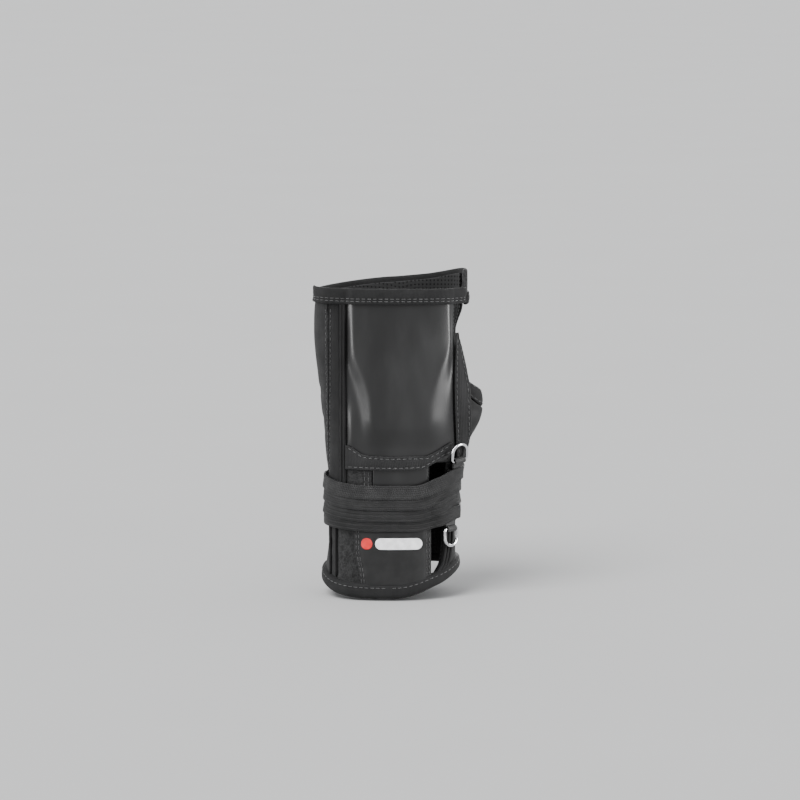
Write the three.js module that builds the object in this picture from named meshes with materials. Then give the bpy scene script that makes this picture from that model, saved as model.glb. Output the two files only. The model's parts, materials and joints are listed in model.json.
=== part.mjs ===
// A slip-on wrist guard for the right hand, at rest in the shape that a hand gives it.
// Millimetres. +Z points to the fingers, -Y is the palm side, +X is the thumb side.
// The origin is the centre of the wrist, where the guard bends.
//
// Every soft piece is a sheet that lies at a stated depth outside the wearer's skin.
// A place on the skin is an angle round the arm and a height along it:
// 0 is the thumb side, 90 the back of the hand, 180 the little-finger side, 270 the palm.

import * as THREE from "three";

const DEGREE = Math.PI / 180;

// ---- driving dimensions ----

// Depth of each layer outside the skin: inner face, outer face.
const lining = [0, 1.1];
const panel = [1.9, 3.3];
const overlay = [4.0, 5.2];
const strapLayer = [5.9, 6.8];

// The hand and forearm inside: height, centre x, half width, half depth.
const armStations = [
  [-78, -0.5, 36.4, 24.0],
  [-58, -0.5, 35.4, 23.0],
  [-40, 0, 34.3, 22.0],
  [-12, 0, 34.3, 20.5],
  [8, 1.0, 36.4, 20.5],
  [30, 1.2, 38.4, 20.5],
  [60, 0, 40.5, 18.5],
  [88, -1.0, 41.8, 16.0],
  [130, 0, 41.2, 14.5],
];
const squareness = 2.5;

// The base of the thumb swells the skin on the palm side of the thumb edge.
const thumbBase = { angle: -24, spread: 30, towards: -18, bulge: 13 };
const thumbBaseHeights = [
  [0, 0],
  [18, 0.35],
  [40, 1],
  [52, 0.9],
  [84, 0],
];

// The flat facets that the curved sheets are made of.
const facets = { plain: { across: 4.6, up: 11 }, fine: { across: 4.2, up: 6.5 } };

// The wrist bends about the X axis; nothing stiff crosses this band of height.
const wristGap = 4.2;
const liningGap = 8.5;

// The palm plate's crown: an hourglass plateau with a flat facet on the heel of the palm.
const crown = { height: 4.4, slope: 8, flat: 27.4 };
const crownLeft = [
  [10, -14],
  [38, -15],
  [55, -19],
  [74, -24.5],
  [110, -25.5],
];
const crownRight = [
  [10, 20],
  [38, 21],
  [55, 26],
  [74, 33],
  [110, 34],
];
const crownFade = [
  [18, 0],
  [38, 1],
  [92, 1],
  [102, 0],
];

// The elastic strap winds four times round the wrist. Each turn has a height on the palm and on the
// thumb side, and a rise from the palm to the little-finger side.
const strap = { width: 6.2, firstAngle: 153, lastAngle: 1494 };
const strapTurns = [
  { palm: -8.3, thumb: 3.2, rise: 4.5 },
  { palm: -15, thumb: -5, rise: 3.8 },
  { palm: -21.7, thumb: -13.2, rise: 3.1 },
  { palm: -28.4, thumb: -21.4, rise: 2 },
];
const tabHeight = -41;

// The D-rings: wire radius, width and height of the ring to the centre of its wire.
const ring = { wire: 0.9, width: 10.6, height: 10.4, corner: 1.6 };
const webbing = { thick: 0.7, width: 7.6, slack: 0.3 };

// ---- places on the arm ----

// A smooth curve through a table of rows [key, value, ...] that never overshoots a row's value,
// held level past both ends.
function along(rows, column = 1) {
  const slope = (i) => {
    const before = rows[Math.max(i - 1, 0)];
    const after = rows[Math.min(i + 1, rows.length - 1)];
    const turns = (after[column] - rows[i][column]) * (rows[i][column] - before[column]) <= 0;
    return turns ? 0 : (after[column] - before[column]) / (after[0] - before[0]);
  };
  return (key) => {
    if (key <= rows[0][0]) return rows[0][column];
    const last = rows.length - 1;
    if (key >= rows[last][0]) return rows[last][column];
    let i = 0;
    while (key > rows[i + 1][0]) i++;
    const span = rows[i + 1][0] - rows[i][0];
    const t = (key - rows[i][0]) / span;
    const a = slope(i) * span;
    const b = slope(i + 1) * span;
    const start = rows[i][column];
    const rise = rows[i + 1][column] - start;
    return start + t * (a + t * (3 * rise - 2 * a - b + t * (a + b - 2 * rise)));
  };
}

const smoothstep = (x) => THREE.MathUtils.smoothstep(x, 0, 1);
const { lerp } = THREE.MathUtils;

const centreX = along(armStations, 1);
const halfWidth = along(armStations, 2);
const halfDepth = along(armStations, 3);
const thumbSwell = along(thumbBaseHeights);

// A point on the wearer's skin.
function skin(angle, z) {
  const c = Math.cos(angle * DEGREE);
  const s = Math.sin(angle * DEGREE);
  const power = 2 / squareness;
  const away = (((angle - thumbBase.angle + 540) % 360) - 180) / thumbBase.spread;
  const swell = thumbBase.bulge * thumbSwell(z) * Math.exp(-away * away);
  return new THREE.Vector3(
    centreX(z) +
      halfWidth(z) * Math.sign(c) * Math.abs(c) ** power +
      swell * Math.cos(thumbBase.towards * DEGREE),
    halfDepth(z) * Math.sign(s) * Math.abs(s) ** power + swell * Math.sin(thumbBase.towards * DEGREE),
    z,
  );
}

function outward(angle, z) {
  const step = 0.5;
  const round = skin(angle + step, z).sub(skin(angle - step, z));
  const up = skin(angle, z + step).sub(skin(angle, z - step));
  return round.cross(up).normalize();
}

// The point at a depth outside the skin.
const place = (angle, z, depth) => skin(angle, z).addScaledVector(outward(angle, z), depth);

// The angle at which the palm side has a given x.
function palmAngle(x, z, depth) {
  let low = 180;
  let high = 360;
  for (let i = 0; i < 24; i++) {
    const middle = (low + high) / 2;
    if (place(middle, z, depth).x < x) low = middle;
    else high = middle;
  }
  return (low + high) / 2;
}

const asFunction = (value) => (typeof value === "function" ? value : () => value);
// An edge of a palm piece that runs at a given x, which may change with height.
const palmEdge = (x, depth = panel[1]) => {
  const at = asFunction(x);
  return (z) => palmAngle(at(z), z, depth);
};

// The way round the arm between two angles at one height.
function arcLength(from, to, z) {
  const steps = 24;
  let length = 0;
  for (let i = 0; i < steps; i++) {
    const start = place(lerp(from, to, i / steps), z, panel[0]);
    length += start.distanceTo(place(lerp(from, to, (i + 1) / steps), z, panel[0]));
  }
  return length;
}

// ---- solids ----

// A closed solid between an outer and an inner grid of points, rows going up and columns round.
function slab(outerRows, innerRows, closedRound) {
  const rows = outerRows.length;
  const columns = outerRows[0].length;
  const positions = [...outerRows, ...innerRows].flat().flatMap((p) => [p.x, p.y, p.z]);
  const outer = (j, i) => j * columns + (i % columns);
  const inner = (j, i) => rows * columns + outer(j, i);
  const index = [];
  const quad = (a, b, c, d) => index.push(a, b, c, a, c, d);
  const cells = closedRound ? columns : columns - 1;
  for (let i = 0; i < cells; i++) {
    for (let j = 0; j < rows - 1; j++) {
      quad(outer(j, i), outer(j, i + 1), outer(j + 1, i + 1), outer(j + 1, i));
      quad(inner(j, i), inner(j + 1, i), inner(j + 1, i + 1), inner(j, i + 1));
    }
    const top = rows - 1;
    quad(inner(0, i), inner(0, i + 1), outer(0, i + 1), outer(0, i));
    quad(inner(top, i), outer(top, i), outer(top, i + 1), inner(top, i + 1));
  }
  for (let j = 0; j < rows - 1 && !closedRound; j++) {
    const end = columns - 1;
    quad(inner(j, 0), outer(j, 0), outer(j + 1, 0), inner(j + 1, 0));
    quad(inner(j, end), inner(j + 1, end), outer(j + 1, end), outer(j, end));
  }
  return new THREE.BufferGeometry()
    .setAttribute("position", new THREE.Float32BufferAttribute(positions, 3))
    .setIndex(index);
}

// A sheet inside four edges. from and to are angles that may change with height; low and high are
// heights that may change with the share of the way across, or with the angle; depths may change
// with angle and height. flats are the distances in front of the origin at which the inner and the
// outer face are cut flat.
function sheet({ from, to, low, high, depths, facet = facets.plain, flats = [Infinity, Infinity] }) {
  const [fromAt, toAt, lowAt, highAt] = [from, to, low, high].map(asFunction);
  const [innerAt, outerAt] = depths.map(asFunction);
  const closedRound = to - from === 360;
  const angleAt = (u, z) => lerp(fromAt(z), toAt(z), u);
  const edgeHeight = (heightAt, u) => heightAt(u, angleAt(u, heightAt(u, angleAt(u, 0))));

  const middle = (edgeHeight(lowAt, 0.5) + edgeHeight(highAt, 0.5)) / 2;
  const across = Math.ceil(arcLength(fromAt(middle), toAt(middle), middle) / facet.across);
  const tallest = Math.max(...[0, 0.5, 1].map((u) => edgeHeight(highAt, u) - edgeHeight(lowAt, u)));
  const up = Math.ceil(tallest / facet.up);

  const columns = closedRound ? across : across + 1;
  const grid = (depthAt, flat) =>
    Array.from({ length: up + 1 }, (_, j) =>
      Array.from({ length: columns }, (_, i) => {
        const u = i / across;
        const z = lerp(edgeHeight(lowAt, u), edgeHeight(highAt, u), j / up);
        const angle = angleAt(u, z);
        const point = place(angle, z, depthAt(angle, z));
        return point.setY(Math.max(point.y, -flat));
      }),
    );
  return slab(grid(outerAt, flats[1]), grid(innerAt, flats[0]), closedRound);
}

// ---- materials ----

const material = (color, roughness, metalness = 0) =>
  new THREE.MeshStandardMaterial({ color, roughness, metalness });
const neoprene = material(0x161617, 0.85);
const jersey = material(0x202022, 0.95);
const mesh = material(0x1a1a1c, 0.9);
const elastic = material(0x232324, 0.8);
const webbingCloth = material(0x1c1c1d, 0.75);
const plastic = material(0x2b2c2e, 0.42);
const splintPlastic = material(0x303133, 0.5);
const foam = material(0x3a3a3c, 1);
const hookTape = material(0x121213, 0.9);
const print = material(0xe8e8e8, 0.6);
const steel = material(0xc9ccd0, 0.2, 1);

const guard = new THREE.Group();
const handSection = new THREE.Group();
const cuffSection = new THREE.Group();
guard.add(handSection, cuffSection);

function add(group, name, geometry, look) {
  const piece = new THREE.Mesh(geometry, look);
  piece.name = name;
  group.add(piece);
  return piece;
}

// ---- the palm plate and what lies under it ----

const crownLeftX = along(crownLeft);
const crownRightX = along(crownRight);
const crownHeight = along(crownFade);
const plateLeft = -27.6;
const plateRight = along([
  [10, 38],
  [46, 36.6],
  [110, 36.6],
]);

// How far the crown stands out of the plate's flange at a place.
function crownAt(angle, z) {
  const { x } = place(angle, z, panel[1]);
  const fromLeft = smoothstep((x - crownLeftX(z)) / crown.slope + 0.5);
  const fromRight = smoothstep((crownRightX(z) - x) / crown.slope + 0.5);
  const rim = smoothstep((x - plateLeft) / 4) * smoothstep((plateRight(z) - x) / 4);
  return crown.height * crownHeight(z) * fromLeft * fromRight * rim;
}

const plateThickness = panel[1] - panel[0];

add(
  handSection,
  "palm_plate",
  sheet({
    from: palmEdge(plateLeft),
    to: palmEdge(plateRight),
    low: along([
      [0, 14],
      [0.25, 9.5],
      [0.75, 9.5],
      [1, 19],
    ]),
    high: 106,
    depths: [(angle, z) => panel[0] + crownAt(angle, z), (angle, z) => panel[1] + crownAt(angle, z)],
    facet: facets.fine,
    flats: [crown.flat - plateThickness, crown.flat],
  }),
  plastic,
);

const tongueEdges = { left: -11.5, right: 21.5 };
add(
  cuffSection,
  "palm_plate_tongue",
  sheet({
    from: palmEdge(tongueEdges.left),
    to: palmEdge(tongueEdges.right),
    low: -54,
    high: 7.8,
    depths: panel,
  }),
  plastic,
);

const padMargin = 4.5;
const padClearance = 0.8;
add(
  handSection,
  "palm_foam_pad",
  sheet({
    from: palmEdge((z) => crownLeftX(z) + padMargin),
    to: palmEdge((z) => crownRightX(z) - padMargin),
    low: 36,
    high: 92,
    depths: [panel[0], (angle, z) => panel[0] - padClearance + crownAt(angle, z)],
    flats: [Infinity, crown.flat - plateThickness - padClearance],
  }),
  foam,
);

// ---- the hand section ----

// The strip down the palm side of the thumb hole, pointed at the top.
const borderLeft = along([
  [14, 38.6],
  [30, 38],
  [60, 37.2],
  [86, 37.6],
]);
const borderRight = along([
  [14, 43],
  [30, 46.6],
  [48, 46.8],
  [62, 44.4],
  [76, 41],
  [86, 39.2],
]);
const thumbHolePalm = palmEdge((z) => borderRight(z) - 0.6);
const thumbHoleBack = 388;

// The finger edge over the back of the hand, by angle.
const backTop = along([
  [10, 121],
  [70, 116],
  [180, 109],
]);

add(
  handSection,
  "hand_lining_palm",
  sheet({ from: 180.6, to: thumbHolePalm, low: liningGap, high: 110, depths: lining }),
  mesh,
);
add(
  handSection,
  "hand_lining_back",
  sheet({
    from: thumbHoleBack - 360,
    to: 179.6,
    low: liningGap,
    high: (u, angle) => backTop(angle) - 1,
    depths: lining,
  }),
  mesh,
);

// The back splint lies in a pocket between the lining and the back panels, which swell over it.
const splint = { from: 72, to: 108, low: -48, high: 84, thick: 1.4 };
function pocketSwell(angle, z) {
  const sides = smoothstep((angle - 56) / 12) * smoothstep((124 - angle) / 12);
  return (splint.thick + 0.4) * sides * smoothstep((92 - z) / 6);
}
const overPocket = [
  (angle, z) => panel[0] + pocketSwell(angle, z),
  (angle, z) => panel[1] + pocketSwell(angle, z),
];

// The back panel stops clear of the strap, which crosses the back higher than the palm.
const backPanelLow = 8;
add(
  handSection,
  "hand_back_panel",
  sheet({
    from: thumbHoleBack - 360 + 1,
    to: 149,
    low: backPanelLow,
    high: (u, angle) => backTop(angle) - 7,
    depths: overPocket,
  }),
  neoprene,
);
add(
  cuffSection,
  "back_splint",
  sheet({
    from: splint.from,
    to: splint.to,
    low: splint.low,
    high: splint.high,
    depths: [panel[0] - 0.1, panel[0] - 0.1 + splint.thick],
  }),
  splintPlastic,
);

add(
  handSection,
  "ulnar_panel",
  sheet({ from: 150, to: palmEdge(-38.6), low: wristGap, high: 101.5, depths: panel }),
  jersey,
);
add(
  handSection,
  "palm_edge_panel",
  sheet({
    from: palmEdge(-38),
    to: palmEdge(-31),
    low: wristGap,
    high: 102.6,
    depths: panel,
  }),
  neoprene,
);
add(
  handSection,
  "plate_piping",
  sheet({
    from: palmEdge(-30.6),
    to: palmEdge(-28.1),
    low: wristGap,
    high: 102.6,
    depths: [panel[0], overlay[1]],
  }),
  jersey,
);
add(
  handSection,
  "plate_crossband",
  sheet({
    from: palmEdge(-27.6, overlay[0]),
    to: palmEdge(35, overlay[0]),
    low: along([
      [0, 5],
      [0.7, 5.4],
      [0.85, 9.5],
      [1, 15],
    ]),
    high: along([
      [0, 19.5],
      [0.2, 14],
      [0.72, 13.4],
      [0.86, 17],
      [1, 23],
    ]),
    depths: overlay,
  }),
  jersey,
);

add(
  handSection,
  "finger_hem_palm",
  sheet({ from: 180.8, to: 349, low: 103.4, high: 113, depths: overlay }),
  jersey,
);
add(
  handSection,
  "finger_hem_back",
  sheet({
    from: 9.5,
    to: 179.8,
    low: (u, angle) => backTop(angle) - 6.3,
    high: (u, angle) => backTop(angle) + 2,
    depths: [panel[0], panel[1] + 1],
  }),
  jersey,
);
// The loop that closes the finger opening between the thumb and the first finger.
const webTop = along([
  [0, 114],
  [0.45, 124],
  [1, 123.4],
]);
add(
  handSection,
  "web_strap",
  sheet({
    from: 349.6,
    to: 368.8,
    low: 110.4,
    high: webTop,
    depths: [lining[1] + 0.4, panel[1] + 0.8],
  }),
  neoprene,
);
add(
  handSection,
  "web_strap_fold",
  sheet({
    from: 349.6,
    to: 368.8,
    low: 102,
    high: 109.9,
    depths: [lining[1] + 0.4, overlay[1]],
  }),
  jersey,
);

add(
  handSection,
  "radial_border",
  sheet({
    from: palmEdge(borderLeft, overlay[0]),
    to: palmEdge(borderRight, overlay[0]),
    low: 12,
    high: 86,
    depths: overlay,
  }),
  jersey,
);
add(
  handSection,
  "thumb_gusset",
  sheet({
    from: (z) => thumbHolePalm(z) + 1,
    to: thumbHoleBack - 1,
    low: liningGap + 1,
    high: along([
      [0, 49.4],
      [0.5, 39.4],
      [1, 44.4],
    ]),
    depths: [0.4, panel[1]],
  }),
  neoprene,
);
add(
  handSection,
  "thumb_band",
  sheet({
    from: (z) => thumbHolePalm(z) + 1,
    to: thumbHoleBack - 1,
    low: along([
      [0, 50],
      [0.5, 40],
      [1, 45],
    ]),
    high: along([
      [0, 62],
      [0.5, 49.5],
      [1, 54],
    ]),
    depths: [0.2, panel[1] + 0.3],
  }),
  jersey,
);

// ---- the stretch gusset that lets the wrist bend ----

// The slit on the palm's thumb side, which the strap draws together.
const slitPalmX = 23;
const slitThumbX = along([
  [-58, 26],
  [-52, 29.6],
  [-40, 31.4],
  [-20, 32],
  [12, 33.6],
]);
const slitThumbAngle = palmEdge(slitThumbX);

add(
  handSection,
  "wrist_gusset",
  sheet({
    from: (z) => slitThumbAngle(z) - 360,
    to: palmEdge(slitPalmX),
    low: -liningGap + 0.6,
    high: liningGap - 0.6,
    depths: lining,
  }),
  elastic,
);

// ---- the cuff ----

// The upper edge of the bottom hem, round from the thumb side; the hem dips on the palm.
const hemTop = along([
  [-90, -63.5],
  [-50, -57],
  [0, -50],
  [90, -52],
  [180, -56.5],
  [225, -62.4],
  [270, -63.5],
  [310, -57],
  [360, -50],
]);
const hemHeight = along([
  [-90, 9],
  [0, 7.5],
  [180, 8.5],
  [270, 9],
  [360, 7.5],
]);
const aboveHem = (u, angle) => hemTop(angle) + 0.6;

add(
  cuffSection,
  "cuff_lining",
  sheet({
    from: (z) => slitThumbAngle(z) - 360,
    to: palmEdge(slitPalmX),
    low: aboveHem,
    high: -liningGap,
    depths: lining,
  }),
  mesh,
);
add(
  cuffSection,
  "cuff_palm_panel",
  sheet({
    from: palmEdge(-33),
    to: palmEdge(tongueEdges.left - 0.6),
    low: aboveHem,
    high: -wristGap,
    depths: panel,
  }),
  neoprene,
);
add(
  cuffSection,
  "tongue_pocket",
  sheet({
    from: palmEdge(-22, overlay[0]),
    to: palmEdge(slitPalmX, overlay[0]),
    low: aboveHem,
    high: -6,
    depths: overlay,
  }),
  neoprene,
);
add(
  cuffSection,
  "cuff_ulnar_panel",
  sheet({
    from: 150,
    to: palmEdge(-33.6),
    low: aboveHem,
    high: -wristGap,
    depths: panel,
  }),
  jersey,
);
const pipingWidth = 1.6;
for (const [name, x] of [
  ["ulnar_piping_front", -32.8],
  ["ulnar_piping_side", -36.2],
]) {
  add(
    cuffSection,
    name,
    sheet({
      from: palmEdge(x - pipingWidth, overlay[0]),
      to: palmEdge(x, overlay[0]),
      low: aboveHem,
      high: -6,
      depths: [overlay[0] - 0.1, overlay[1] - 0.2],
    }),
    jersey,
  );
}
add(
  cuffSection,
  "cuff_back_panel",
  sheet({
    from: 21,
    to: 149,
    low: aboveHem,
    high: -wristGap,
    depths: overPocket,
  }),
  neoprene,
);
add(
  cuffSection,
  "cuff_radial_panel",
  sheet({
    from: slitThumbAngle,
    to: 380,
    low: aboveHem,
    high: along([
      [0, 4],
      [0.6, 3],
      [1, -wristGap],
    ]),
    depths: panel,
  }),
  neoprene,
);
add(
  cuffSection,
  "slit_binding",
  sheet({
    from: palmEdge((z) => slitThumbX(z) + 0.4, overlay[0]),
    to: palmEdge((z) => slitThumbX(z) + 3.4, overlay[0]),
    low: aboveHem,
    high: 3,
    depths: overlay,
  }),
  jersey,
);
add(
  cuffSection,
  "cuff_hem",
  sheet({
    from: -90,
    to: 270,
    low: (u, angle) => hemTop(angle) - hemHeight(angle),
    high: (u, angle) => hemTop(angle),
    depths: [0.3, overlay[1]],
  }),
  jersey,
);
// A plain printed bar in place of a mark.
const badge = { left: -14, right: 17, low: -43.4, high: -35.4, thick: 0.4 };
add(
  cuffSection,
  "badge",
  sheet({
    from: palmEdge(badge.left, overlay[1]),
    to: palmEdge(badge.right, overlay[1]),
    low: badge.low,
    high: badge.high,
    depths: [overlay[1] + 0.3, overlay[1] + 0.3 + badge.thick],
  }),
  print,
);

// ---- the strap ----

// Rows of [angle, height] for the middle of the strap, turn after turn.
const strapRows = strapTurns.flatMap(({ palm, thumb, rise }, turn) => {
  const start = 360 * turn;
  return [
    [start + 146, palm + rise],
    [start + 180, palm + rise],
    [start + 225, palm + 1],
    [start + 255, palm],
    [start + 285, palm],
    [start + 312, lerp(palm, thumb, 0.45)],
    [start + 338, lerp(palm, thumb, 0.95)],
    [start + 372, thumb - 1.2],
  ];
});
strapRows.push([strap.lastAngle, tabHeight], [strap.lastAngle + 60, tabHeight]);
const strapMiddle = along(strapRows);

// The strap's last turn rides over the lower ring's webbing tab.
const overTab = { angle: 327, spread: 13, z: -26, reach: 7, lift: 2.2 };
function strapLift(angle, z) {
  const round = Math.abs(((angle - overTab.angle + 540) % 360) - 180) / overTab.spread;
  const up = Math.abs(z - overTab.z) / overTab.reach;
  return overTab.lift * smoothstep(2 - round) * smoothstep(2 - up);
}

function strapRibbon(depths, degreesPerStep) {
  const steps = Math.round((strap.lastAngle - strap.firstAngle) / degreesPerStep);
  const edgeRow = (side, depth) =>
    Array.from({ length: steps + 1 }, (_, i) => {
      const angle = lerp(strap.firstAngle, strap.lastAngle, i / steps);
      const middle = strapMiddle(angle);
      const rise = strapMiddle(angle + 1) - strapMiddle(angle - 1);
      const run = place(angle + 1, middle, depth).distanceTo(place(angle - 1, middle, depth));
      const half = (strap.width / 2) * (run / Math.sqrt(Math.max(run * run - rise * rise, 0.5 * run * run)));
      return place(angle, middle + side * half, depth + strapLift(angle % 360, middle));
    });
  const rows = (depth) => [edgeRow(-1, depth), edgeRow(1, depth)];
  return slab(rows(depths[1]), rows(depths[0]), false);
}
add(cuffSection, "elastic_strap", strapRibbon(strapLayer, 10), elastic);

const tab = { from: 56.5, to: 118, low: tabHeight - 7.5, high: tabHeight + 7.5 };
const patchDepth = 5.4;
add(
  cuffSection,
  "loop_patch",
  sheet({
    from: tab.from + 3,
    to: tab.to + 8,
    low: tab.low + 1,
    high: tab.high - 1,
    depths: [patchDepth, patchDepth + 0.8],
  }),
  hookTape,
);
add(
  cuffSection,
  "hook_patch",
  sheet({
    from: tab.from + 6,
    to: tab.to - 6,
    low: tab.low + 1.5,
    high: tab.high - 1.5,
    depths: [patchDepth + 1.2, patchDepth + 2],
  }),
  hookTape,
);
add(
  cuffSection,
  "pull_tab",
  sheet({
    from: tab.from,
    to: tab.to,
    low: tab.low,
    high: tab.high,
    depths: [patchDepth + 2.4, patchDepth + 3.6],
  }),
  webbingCloth,
);

// ---- the D-rings and the webbing tabs that hold them ----

function ringCurve() {
  const half = ring.width / 2;
  const outline = new THREE.Path();
  outline.moveTo(0, 0);
  outline.lineTo(half - ring.corner, 0);
  outline.quadraticCurveTo(half, 0, half, ring.corner);
  outline.lineTo(half, ring.height - half);
  outline.absarc(0, ring.height - half, half, 0, Math.PI, false);
  outline.lineTo(-half, ring.corner);
  outline.quadraticCurveTo(-half, 0, -half + ring.corner, 0);
  outline.lineTo(0, 0);
  const points = outline.getSpacedPoints(40).slice(0, -1);
  return new THREE.CatmullRomCurve3(
    points.map((p) => new THREE.Vector3(p.x, p.y, 0)),
    true,
  );
}

// A webbing tab folded round the ring's bar, seen along the bar, with its tail along +X.
function tabShape(tailLength) {
  const hole = ring.wire + webbing.slack;
  const head = hole + webbing.thick;
  const fold = Math.asin((head - 2 * webbing.thick) / head);
  const outline = new THREE.Shape();
  outline.moveTo(tailLength, -head);
  outline.lineTo(tailLength, -head + 2 * webbing.thick);
  outline.lineTo(head * Math.cos(fold), -head * Math.sin(fold));
  outline.absarc(0, 0, head, -fold, 1.5 * Math.PI, false);
  outline.lineTo(tailLength, -head);
  outline.holes.push(new THREE.Path().absarc(0, 0, hole, 0, 2 * Math.PI, true));
  return outline;
}

// A group whose X runs along the bar, Y towards the ring's bow and Z away from the arm.
function ringGroup(parent, angle, z, depth, roll) {
  const group = new THREE.Group();
  const z3 = outward(angle, z);
  const x3 = new THREE.Vector3(0, 0, 1).cross(z3).normalize();
  const y3 = new THREE.Vector3().crossVectors(z3, x3);
  group.position.copy(place(angle, z, depth));
  group.quaternion.setFromRotationMatrix(new THREE.Matrix4().makeBasis(x3, y3, z3));
  group.rotateZ(roll * DEGREE);
  parent.add(group);
  return group;
}

function addRing(group, name, tailLength) {
  add(group, `${name}_d_ring`, new THREE.TubeGeometry(ringCurve(), 36, ring.wire, 8, true), steel);
  const fold = new THREE.ExtrudeGeometry(tabShape(tailLength), {
    depth: webbing.width,
    bevelEnabled: false,
    curveSegments: 10,
  });
  const folded = add(group, `${name}_ring_tab`, fold, webbingCloth);
  folded.rotation.set(Math.PI / 2, -Math.PI / 2, 0);
  folded.position.x = webbing.width / 2;
}

const ringDepth = overlay[1] + 0.4 + ring.wire + webbing.slack + webbing.thick;
const upperRing = { angle: 328, z: 12.4, roll: 8, tail: 5 };
const lowerRing = { angle: 327, z: -31.4, roll: 180, tail: 5 };
addRing(ringGroup(handSection, upperRing.angle, upperRing.z, ringDepth, upperRing.roll), "upper", upperRing.tail);
addRing(ringGroup(cuffSection, lowerRing.angle, lowerRing.z, ringDepth, lowerRing.roll), "lower", lowerRing.tail);

export default guard;
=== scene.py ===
"""The looks of a slip-on wrist guard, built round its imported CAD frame.

Lengths inside the script are millimetres, and each mesh is scaled to metres when it is made.
The guard is a stack of sheets at stated depths outside the wearer's skin. A place on the skin is
an angle round the arm and a height: 0 is the thumb side, 90 the back of the hand, 180 the
little-finger side and 270 the palm. The palm faces -Y and the fingers +Z.
"""

import json
import math

import bpy
import numpy as np
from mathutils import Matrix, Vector


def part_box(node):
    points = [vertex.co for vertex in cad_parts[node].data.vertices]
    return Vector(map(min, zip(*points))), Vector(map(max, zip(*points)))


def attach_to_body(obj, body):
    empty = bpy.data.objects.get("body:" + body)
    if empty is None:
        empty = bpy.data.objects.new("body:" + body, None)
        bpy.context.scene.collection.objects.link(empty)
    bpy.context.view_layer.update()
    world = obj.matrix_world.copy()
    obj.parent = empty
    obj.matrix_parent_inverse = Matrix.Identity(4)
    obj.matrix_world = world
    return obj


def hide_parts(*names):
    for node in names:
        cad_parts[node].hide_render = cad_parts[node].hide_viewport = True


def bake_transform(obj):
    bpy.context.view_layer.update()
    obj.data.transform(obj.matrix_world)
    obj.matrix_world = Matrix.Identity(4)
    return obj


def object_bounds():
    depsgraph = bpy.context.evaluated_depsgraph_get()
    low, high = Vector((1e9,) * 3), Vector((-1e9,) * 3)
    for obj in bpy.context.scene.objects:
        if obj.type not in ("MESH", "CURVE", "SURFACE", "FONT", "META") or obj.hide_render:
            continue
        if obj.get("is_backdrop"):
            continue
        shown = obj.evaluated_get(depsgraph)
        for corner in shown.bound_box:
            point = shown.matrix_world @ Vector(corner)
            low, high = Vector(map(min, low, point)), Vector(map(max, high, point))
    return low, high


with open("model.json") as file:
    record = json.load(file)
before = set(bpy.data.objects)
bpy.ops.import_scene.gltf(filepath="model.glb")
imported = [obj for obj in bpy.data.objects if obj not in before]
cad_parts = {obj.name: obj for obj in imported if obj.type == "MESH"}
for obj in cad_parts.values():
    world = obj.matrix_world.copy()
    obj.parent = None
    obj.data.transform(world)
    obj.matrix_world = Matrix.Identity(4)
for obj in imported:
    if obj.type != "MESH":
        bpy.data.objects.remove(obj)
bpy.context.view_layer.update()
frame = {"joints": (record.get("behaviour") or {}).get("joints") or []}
joints = {joint["name"]: joint for joint in frame["joints"]}

MM = 0.001

# ---- the arm and the layers on it, as in the CAD ----

LINING = (0, 1.1)
PANEL = (1.9, 3.3)
OVERLAY = (3.5, 5.2)

ARM_STATIONS = [
    (-78, -0.5, 36.4, 24.0),
    (-58, -0.5, 35.4, 23.0),
    (-40, 0, 34.3, 22.0),
    (-12, 0, 34.3, 20.5),
    (8, 1.0, 36.4, 20.5),
    (30, 1.2, 38.4, 20.5),
    (60, 0, 40.5, 18.5),
    (88, -1.0, 41.8, 16.0),
    (130, 0, 41.2, 14.5),
]
SQUARENESS = 2.5
THUMB_BASE = {"angle": -24, "spread": 30, "towards": -18, "bulge": 13}

# Sheets that cross the wrist bend between these heights.
# Where the hand section's sheets meet the cuff's, under the strap.
MEET = -6.5
MEET_BACK = -10


def along(rows):
    """A smooth curve through rows of (key, value) that never overshoots a row's value."""
    keys, values = (np.array(column, float) for column in zip(*rows))
    steps = np.diff(values) / np.diff(keys)
    slopes = np.zeros(len(keys))
    rising = steps[1:] * steps[:-1] > 0
    slopes[1:-1] = np.where(rising, (values[2:] - values[:-2]) / (keys[2:] - keys[:-2]), 0)

    def curve(key):
        key = np.clip(key, keys[0], keys[-1])
        i = np.clip(np.searchsorted(keys, key, side="right") - 1, 0, len(keys) - 2)
        span = keys[i + 1] - keys[i]
        t = (key - keys[i]) / span
        a, b = slopes[i] * span, slopes[i + 1] * span
        rise = values[i + 1] - values[i]
        return values[i] + t * (a + t * (3 * rise - 2 * a - b + t * (a + b - 2 * rise)))

    return curve


def smoothstep(x):
    x = np.clip(x, 0, 1)
    return x * x * (3 - 2 * x)


def rounded(x):
    """A quarter circle: 0 on an edge, and 1 from one radius in."""
    return np.sqrt(1 - (1 - np.clip(x, 0, 1)) ** 2)


def lerp(a, b, t):
    return a + (b - a) * t


def turned(angle, start):
    """The turn from one angle to another the short way, -180 to 180."""
    return (angle - start + 540) % 360 - 180


def shifted(curve, by):
    return lambda key: curve(key) + by


centre_x = along([(row[0], row[1]) for row in ARM_STATIONS])
half_width = along([(row[0], row[2]) for row in ARM_STATIONS])
half_depth = along([(row[0], row[3]) for row in ARM_STATIONS])
thumb_swell = along([(0, 0), (18, 0.35), (40, 1), (52, 0.9), (84, 0)])


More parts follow.
